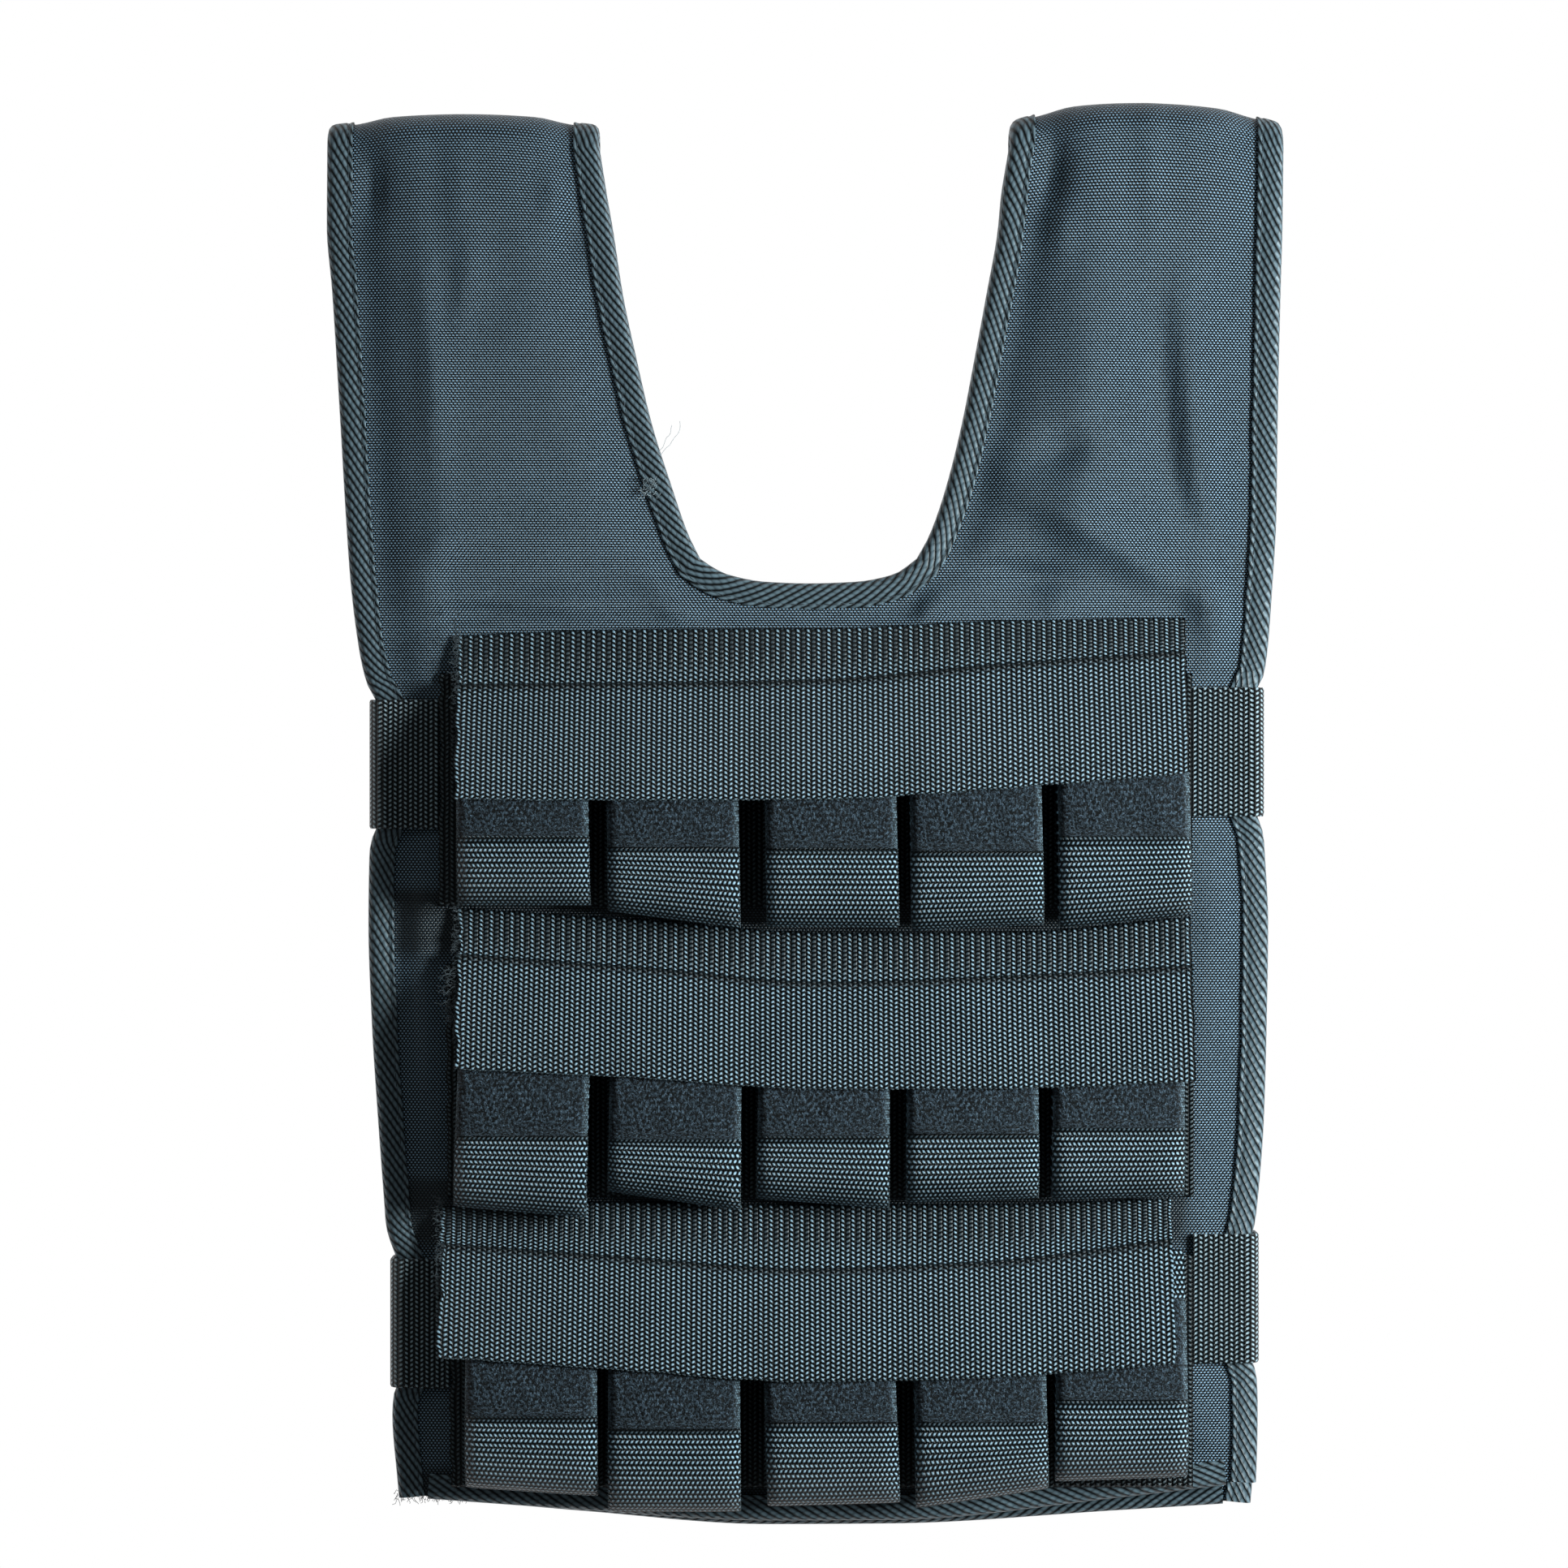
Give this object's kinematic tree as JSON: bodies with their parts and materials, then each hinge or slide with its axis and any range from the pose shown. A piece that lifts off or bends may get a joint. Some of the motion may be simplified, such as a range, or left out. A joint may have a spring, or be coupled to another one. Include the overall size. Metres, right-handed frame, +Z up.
{
  "type": "weighted vest",
  "caption": "Padded training vest lying folded at the shoulders, with rows of filled webbing pouches under long flaps.",
  "frame": {"origin": "on the surface that the vest lies on, under the middle of its box", "axes": "+X to the picture's right across the vest, +Y from the hem to the shoulders, +Z up, out of the front"},
  "size_m": [0.3714, 0.553, 0.0465],
  "materials": {
    "shell_cloth": "plain woven dark slate cloth with a slight sheen",
    "binding_tape": "twill tape, matt",
    "flap_webbing": "ribbed webbing with a slight sheen",
    "pouch_webbing": "ribbed webbing with a slight sheen",
    "strap_webbing": "ribbed webbing with a slight sheen",
    "loop_patch": "fuzzy loop pile, matt"
  },
  "bodies": {
    "root": {"front_panel": "shell_cloth", "back_panel": "shell_cloth", "neck_binding": "binding_tape", "side_binding_left": "binding_tape", "side_binding_right": "binding_tape", "hem_binding_front": "binding_tape", "hem_binding_back": "binding_tape", "side_strap_upper_left": "strap_webbing", "side_strap_upper_right": "strap_webbing", "side_strap_lower_left": "strap_webbing", "side_strap_lower_right": "strap_webbing", "row_1_backing": "strap_webbing", "row_1_flap_hinge": "flap_webbing", "row_1_flap_band": "flap_webbing", "row_1_pouch_1": "pouch_webbing", "row_1_pouch_2": "pouch_webbing", "row_1_pouch_3": "pouch_webbing", "row_1_pouch_4": "pouch_webbing", "row_1_pouch_5": "pouch_webbing", "row_1_patch_1": "loop_patch", "row_1_patch_2": "loop_patch", "row_1_patch_3": "loop_patch", "row_1_patch_4": "loop_patch", "row_1_patch_5": "loop_patch", "row_2_backing": "strap_webbing", "row_2_flap_hinge": "flap_webbing", "row_2_flap_band": "flap_webbing", "row_2_pouch_1": "pouch_webbing", "row_2_pouch_2": "pouch_webbing", "row_2_pouch_3": "pouch_webbing", "row_2_pouch_4": "pouch_webbing", "row_2_pouch_5": "pouch_webbing", "row_2_patch_1": "loop_patch", "row_2_patch_2": "loop_patch", "row_2_patch_3": "loop_patch", "row_2_patch_4": "loop_patch", "row_2_patch_5": "loop_patch", "row_3_backing": "strap_webbing", "row_3_flap_hinge": "flap_webbing", "row_3_flap_band": "flap_webbing", "row_3_pouch_1": "pouch_webbing", "row_3_pouch_2": "pouch_webbing", "row_3_pouch_3": "pouch_webbing", "row_3_pouch_4": "pouch_webbing", "row_3_pouch_5": "pouch_webbing", "row_3_patch_1": "loop_patch", "row_3_patch_2": "loop_patch", "row_3_patch_3": "loop_patch", "row_3_patch_4": "loop_patch", "row_3_patch_5": "loop_patch"}
  },
  "joints": []
}
